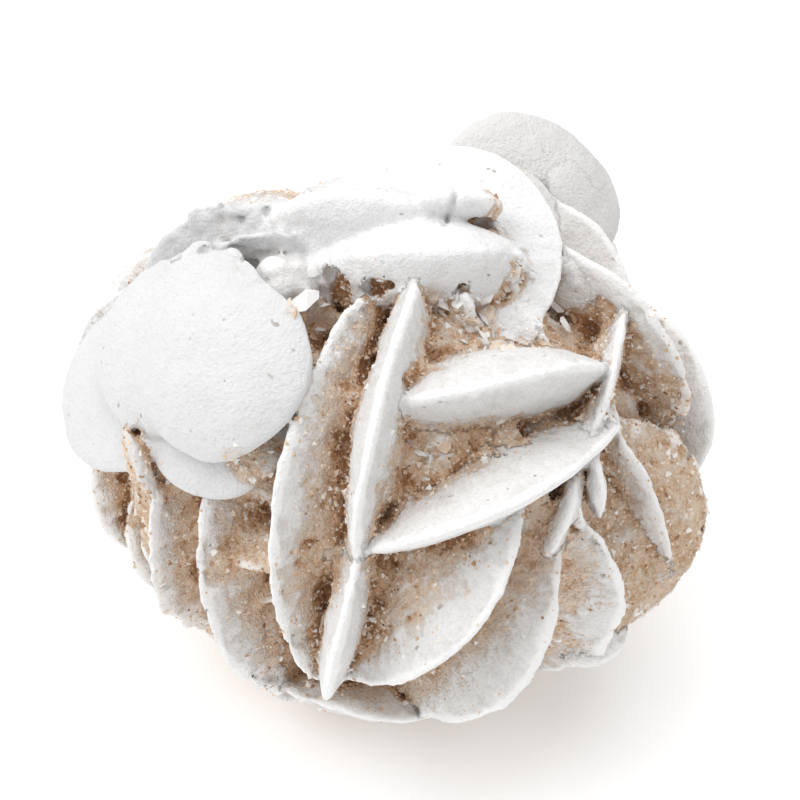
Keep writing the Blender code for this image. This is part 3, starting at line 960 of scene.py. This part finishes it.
# Larger ones: azimuth, elevation and reach of both ends, then breadth and thickness in mm.
LARGE_FLAKES = {
    "wedge beside the left disc": ((-40, 63, 0.94), (-45, 73, 0.83), 2.4, 1.7),
    "block above it": ((-66, 71, 0.85), (-52, 75, 0.84), 1.7, 1.3),
    "tip between the cavities": ((-18, 69, 0.85), (-14, 73, 0.87), 1.0, 0.8),
    "shard under the lens": ((34, 75, 0.84), (39, 69, 0.80), 1.0, 0.7),
    "lump below the shard": ((40, 69, 0.77), (43, 65, 0.77), 1.4, 1.1),
    "another below it": ((44, 65, 0.77), (45, 62, 0.77), 1.2, 1.0),
    "lump left of the fang": ((60, 61, 0.77), (65, 59, 0.78), 1.3, 1.0),
    "plate right of the fang": ((77, 50, 0.80), (75, 45, 0.79), 1.0, 0.5),
    "crystal in the right cavity": ((84, 40, 0.81), (86, 43, 0.82), 0.5, 0.4),
    "crystal at the end of the lens": ((69, 68, 0.95), (74, 66, 0.94), 0.8, 0.6),
    "another beside it": ((72, 65, 0.93), (78, 63, 0.92), 0.7, 0.5),
}
FLAKE_LENGTHS = (0.45, 1.25)
BROKEN_SHARES = (0.7, 1.15)
FLAKE_SHAPE = (1.0, 0.62, 0.26)  # its half length, breadth and thickness as shares of its length
FLAKE_PEAKS = ((0.15, 0.1, 1.0), (-0.15, 0.1, -1.0))
FLAKE_SAND = 0.35  # the least sandiness on which one lies
FLAKE_TILT = 0.75
FLAKE_RISE = 0.35
LARGE_SHADES = (0.5, 0.8)
STONE_TONES = (0.15, 1.35)

quad_middles = crust_points[crust_quads].mean(axis=1)
quad_ways = ways_to(quad_middles)
quad_areas = np.linalg.norm(quad_normals, axis=1)
quad_sandiness = crust_sandiness[crust_quads].mean(axis=1)
chance = np.random.default_rng(SEED)


def stone_material(name, stops, roughness):
    """Small stones that differ in tone from one to the next."""
    material, tree, surface = new_material(name, roughness)
    shade = add_node(tree, "ShaderNodeAttribute", attribute_name="shade").outputs["Fac"]
    where = add_node(tree, "ShaderNodeTexCoord").outputs["Object"]
    cloudy = weighed(tree, (1.0, shade), (0.5, noise(tree, where, 0.4, detail=2.0)))
    ramp = add_node(tree, "ShaderNodeValToRGB", {"Fac": between(tree, cloudy, *STONE_TONES)})
    marks = ramp.color_ramp.elements
    while len(marks) < len(stops):
        marks.new(1.0)
    for mark, (position, colour) in zip(marks, stops):
        mark.position = position
        mark.color = colour
    tree.links.new(ramp.outputs["Color"], surface.inputs["Base Color"])
    return material


def stones(name, points, faces, material, shades):
    """One piece made of copies of a small stone: points by stone and corner, faces of one stone."""
    count, corners = points.shape[:2]
    faces = faces[None] + corners * np.arange(count)[:, None, None]
    mesh = mesh_of(name, points.reshape(-1, 3), faces.reshape(-1, 3), False)
    shade = mesh.attributes.new("shade", "FLOAT", "POINT")
    shade.data.foreach_set("value", np.repeat(shades, corners).astype(np.float32))
    piece = in_scene(name, mesh, material)
    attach(piece, "root")
    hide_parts("sand_rose")


def right_handed(turns):
    """Random frames turned so that none mirrors its stone."""
    turns[:, 2] *= np.linalg.det(turns)[:, None]
    return turns


hexagon = [(math.cos(math.tau * i / 6), math.sin(math.tau * i / 6), 0.0) for i in range(6)]
FLAKE = np.array([*hexagon, *FLAKE_PEAKS]) * FLAKE_SHAPE
FLAKE_FACES = np.array([(i, (i + 1) % 6, 6) for i in range(6)] + [((i + 1) % 6, i, 7) for i in range(6)])
spots = []
for middle, spread, count in FLAKE_BEDS.values():
    near = smooth(1 - angles_from(quad_ways, middle) / spread)
    weights = quad_areas * near * (quad_sandiness > FLAKE_SAND)
    spots.append(chance.choice(len(crust_quads), count, p=weights / weights.sum()))
spots = np.concatenate(spots)
outward = crust_normals[crust_quads[spots, 0]]
along = outward + chance.normal(size=outward.shape) * FLAKE_TILT
along /= np.linalg.norm(along, axis=1)[:, None]
across = np.cross(along, chance.normal(size=outward.shape))
across /= np.linalg.norm(across, axis=1)[:, None]
flake_turns = right_handed(np.stack([along, across, np.cross(along, across)], axis=1))
lengths = chance.uniform(*FLAKE_LENGTHS, len(spots))
flake_points = np.einsum("nvi,nij->nvj", FLAKE[None] * lengths[:, None, None], flake_turns)
flake_points += (quad_middles[spots] + along * lengths[:, None] * FLAKE_RISE)[:, None]
FLAKE_TONES = ((0.0, SAND_TAN), (0.3, SAND_PALE), (0.6, FACE_WHITE), (1.0, RIM_WHITE))
large_points = []
for first, last, breadth, thickness in LARGE_FLAKES.values():
    begin, end = [direction_of(*place[:2]) * ROSE_HALF * place[2] + ROSE_MIDDLE for place in (first, last)]
    along = (end - begin) / np.linalg.norm(end - begin)
    across = np.cross((begin + end) / 2 - ROSE_MIDDLE, along)
    across /= np.linalg.norm(across)
    half_sizes = np.array((np.linalg.norm(end - begin), breadth, thickness)) / 2
    turn = np.stack([along, across, np.cross(along, across)])
    broken = chance.uniform(*BROKEN_SHARES, (len(FLAKE), 1))
    large_points.append((FLAKE / FLAKE_SHAPE * half_sizes * broken) @ turn + (begin + end) / 2)
flake_points = np.concatenate([flake_points, large_points])
flake_shades = chance.uniform(0, 1, len(spots))
flake_shades = np.append(flake_shades, chance.uniform(*LARGE_SHADES, len(large_points)))
flake_gypsum = stone_material("flake_gypsum", FLAKE_TONES, 0.7)
stones("hollow_flakes", flake_points, FLAKE_FACES, flake_gypsum, flake_shades)


# ----------
# The loose grains: quartz sand and crumbs of gypsum that stuck to the sandy parts of the crust.
# Crumbs are larger and lie in drifts, and the brown grains crowd deep between the blades, as painted shade
# there too.

CRUMB_WHITE = (0.82, 0.79, 0.74, 1.0)
DARK_BROWN = (0.13, 0.065, 0.03, 1.0)
# How many there are, their radii in mm, their tones and their roughness.
GRAINS = {
    "pale_grains": (15000, (0.12, 0.30), ((0.0, SAND_TAN), (0.6, SAND_PALE), (1.0, CRUMB_WHITE)), 0.6),
    "tan_crumbs": (8000, (0.16, 0.40), ((0.0, SAND_BROWN), (0.3, SAND_TAN), (1.0, SAND_PALE)), 0.8),
    "white_crumbs": (1800, (0.20, 0.55), ((0.0, SAND_PALE), (0.35, CRUMB_WHITE), (1.0, RIM_WHITE)), 0.7),
    "brown_grains": (2400, (0.12, 0.24), ((0.0, DARK_BROWN), (0.5, SAND_BROWN), (1.0, SAND_TAN)), 0.5),
}
GRAIN_SHARES = (0.6, 1.3)  # how far out a grain's corners lie, as shares of its radius
GRAIN_RISE = 0.3
GROUND_GAP = 0.5
DRIFT_SIZE = 3.5
DRIFT_CONTRAST = 1.6
BROWN_SHADE_CREVICE = 0.5
BROWN_SHADE_FADE = 0.25
OCTAHEDRON = np.array(((1, 0, 0), (-1, 0, 0), (0, 1, 0), (0, -1, 0), (0, 0, 1), (0, 0, -1)))
OCTAHEDRON_FACES = np.array(
    ((0, 2, 4), (2, 1, 4), (1, 3, 4), (3, 0, 4), (2, 0, 5), (1, 2, 5), (3, 1, 5), (0, 3, 5))
)

off_ground = quad_middles[:, 2] > GROUND_GAP
drifts = smooth(0.5 + DRIFT_CONTRAST * cloud(quad_middles, DRIFT_SIZE, seed=11))
quad_crevice = crust_crevice[crust_quads[:, 0]]
WHERE_THEY_LIE = {
    "pale_grains": quad_sandiness**1.2,
    "tan_crumbs": quad_sandiness**2,
    "white_crumbs": quad_sandiness**1.5 * drifts**3,
    # Brown grains crowd into the closed-in crevices: real grains that also stand in for painted shade.
    "brown_grains": quad_sandiness**2 * smooth((quad_crevice - BROWN_SHADE_CREVICE) / BROWN_SHADE_FADE),
}
for name, (count, radii, tones, roughness) in GRAINS.items():
    weights = quad_areas * off_ground * WHERE_THEY_LIE[name]
    spots = chance.choice(len(crust_quads), count, p=weights / weights.sum())
    shares = chance.dirichlet((1, 1, 1, 1), count)
    radius = chance.uniform(*radii, count)
    middles = (crust_points[crust_quads[spots]] * shares[:, :, None]).sum(axis=1)
    middles += crust_normals[crust_quads[spots, 0]] * radius[:, None] * GRAIN_RISE
    middles[:, 2] = np.maximum(middles[:, 2], radius * GRAIN_SHARES[1])
    turns = right_handed(np.linalg.qr(chance.normal(size=(count, 3, 3)))[0])
    corners = OCTAHEDRON[None] * radius[:, None, None] * chance.uniform(*GRAIN_SHARES, (count, 6, 1))
    grain_points = np.einsum("nvi,nij->nvj", corners, turns) + middles[:, None]
    shades = chance.uniform(0, 1, count)
    stones(name, grain_points, OCTAHEDRON_FACES, stone_material(name, tones, roughness), shades)


# ----------
# The studio: a plain pale floor and a white sky, with one lamp on the left and a larger one high behind.
# A long lens looks down from above the front.

FLOOR_SIZE = 4.0
CAMERA_PLACE = Vector((1.4, -234.05, 262.88)) * MM
CAMERA_TARGET = Vector((1.4, 1.41, 27.41)) * MM
LENS = 150.0
LAMP_DISTANCE = 0.5
# Where each lamp is, how wide it is in metres, and its power in watts.
LAMPS = {"key": ((-80, 50), 0.36, 1.15), "top": ((150, 74), 0.5, 1.3)}
SKY_STRENGTH = 0.68
FLOOR_GLOW = 0.20
FLOOR_WHITE = (0.93, 0.93, 0.93, 1.0)
LAMP_WHITE = (1.0, 1.0, 1.0, 1.0)

floor_mesh = bpy.data.meshes.new("floor")
half_floor = FLOOR_SIZE / 2
floor_corners = [(x * half_floor, y * half_floor, 0) for x, y in ((-1, -1), (1, -1), (1, 1), (-1, 1))]
floor_mesh.from_pydata(floor_corners, [], [(0, 1, 2, 3)])
floor_material, _, floor_surface = new_material("floor_white", CHALK_ROUGHNESS)
floor_surface.inputs["Base Color"].default_value = FLOOR_WHITE
floor_surface.inputs["Emission Color"].default_value = LAMP_WHITE
floor_surface.inputs["Emission Strength"].default_value = FLOOR_GLOW
floor = in_scene("floor", floor_mesh, floor_material)


def set_up(name, data, place, way):
    """A lamp or the camera at its place, looking back along this way."""
    thing = bpy.data.objects.new(name, data)
    thing.location = place
    thing.rotation_mode = "QUATERNION"
    thing.rotation_quaternion = way.to_track_quat("Z", "Y")
    scene.collection.objects.link(thing)
    return thing


for name, (way, size, power) in LAMPS.items():
    lamp = bpy.data.lights.new(name, "AREA")
    lamp.size = size
    lamp.energy = power
    lamp_way = Vector(direction_of(*way))
    set_up(name, lamp, lamp_way * LAMP_DISTANCE + Vector(ROSE_MIDDLE) * MM, lamp_way)

sky = bpy.data.worlds.new("sky")
sky.use_nodes = True
sky.node_tree.nodes["Background"].inputs["Color"].default_value = LAMP_WHITE
sky.node_tree.nodes["Background"].inputs["Strength"].default_value = SKY_STRENGTH
scene.world = sky

camera_data = bpy.data.cameras.new("camera")
camera_data.lens = LENS
camera = set_up("camera", camera_data, CAMERA_PLACE, CAMERA_PLACE - CAMERA_TARGET)
scene.camera = camera
scene.view_settings.view_transform = "Standard"
